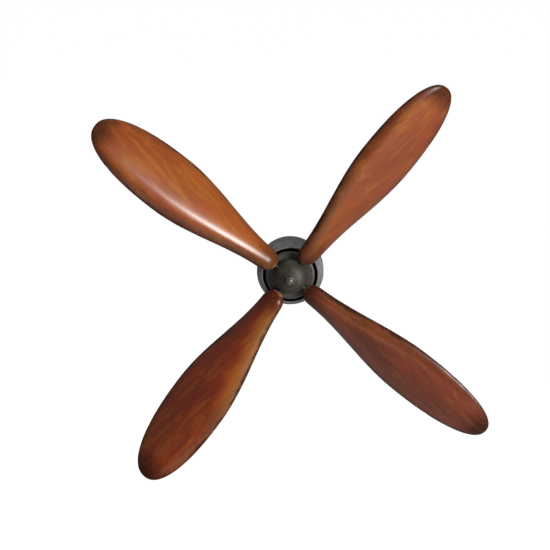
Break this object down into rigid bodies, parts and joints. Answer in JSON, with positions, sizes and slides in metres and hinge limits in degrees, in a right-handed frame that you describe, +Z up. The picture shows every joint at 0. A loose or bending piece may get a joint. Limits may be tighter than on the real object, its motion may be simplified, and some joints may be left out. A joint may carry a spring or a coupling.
{
  "type": "wooden propeller",
  "caption": "Wall-mounted wooden aircraft propeller with broad twisted blades held by studs in a domed metal hub that turns on a spindle in front of a bell-shaped wall canopy.",
  "frame": {"origin": "centre of the wall plate's back face, on the axis that the propeller turns about, in the plane of the wall", "axes": "+Z up along the wall, +Y into the wall along the propeller's axis, +X to the right for a viewer in front; the propeller faces -Y"},
  "size_m": [0.8031, 0.1395, 0.8215],
  "materials": {
    "varnished_wood": "red-brown stain under gloss varnish, darkened at the edges and tips",
    "aged_gunmetal": "dark aged metal, satin, slightly brushed",
    "black_steel": "black satin paint",
    "zinc_steel": "zinc plated, satin",
    "bronze": "machined",
    "nylon": "matt, natural white"
  },
  "bodies": {
    "wall_mount": {"wall_plate": "black_steel", "wall_canopy": "aged_gunmetal", "canopy_screws": "zinc_steel", "bearing_housing": "black_steel", "housing_screws": "zinc_steel", "front_bush": "bronze", "rear_bush": "bronze"},
    "rotor": {"spindle": "zinc_steel", "rear_washer": "zinc_steel", "rear_nut": "zinc_steel", "thrust_washer": "nylon", "hub_spacer": "zinc_steel", "hub_drum": "aged_gunmetal", "hub_core": "black_steel", "hub_washer": "zinc_steel", "hub_nut": "zinc_steel", "spinner_dome": "aged_gunmetal", "nose_washer": "aged_gunmetal", "nose_nut": "aged_gunmetal", "blade_stud_1": "black_steel", "stud_nut_1": "black_steel", "blade_1": "varnished_wood", "blade_stud_2": "black_steel", "stud_nut_2": "black_steel", "blade_2": "varnished_wood", "blade_stud_3": "black_steel", "stud_nut_3": "black_steel", "blade_3": "varnished_wood", "blade_stud_4": "black_steel", "stud_nut_4": "black_steel", "blade_4": "varnished_wood"}
  },
  "joints": [
    {"name": "propeller_spin", "type": "hinge", "parent": "wall_mount", "child": "rotor", "pos_m": [0, -0.0778, 0], "axis": [0, -1, 0], "continuous": true}
  ]
}
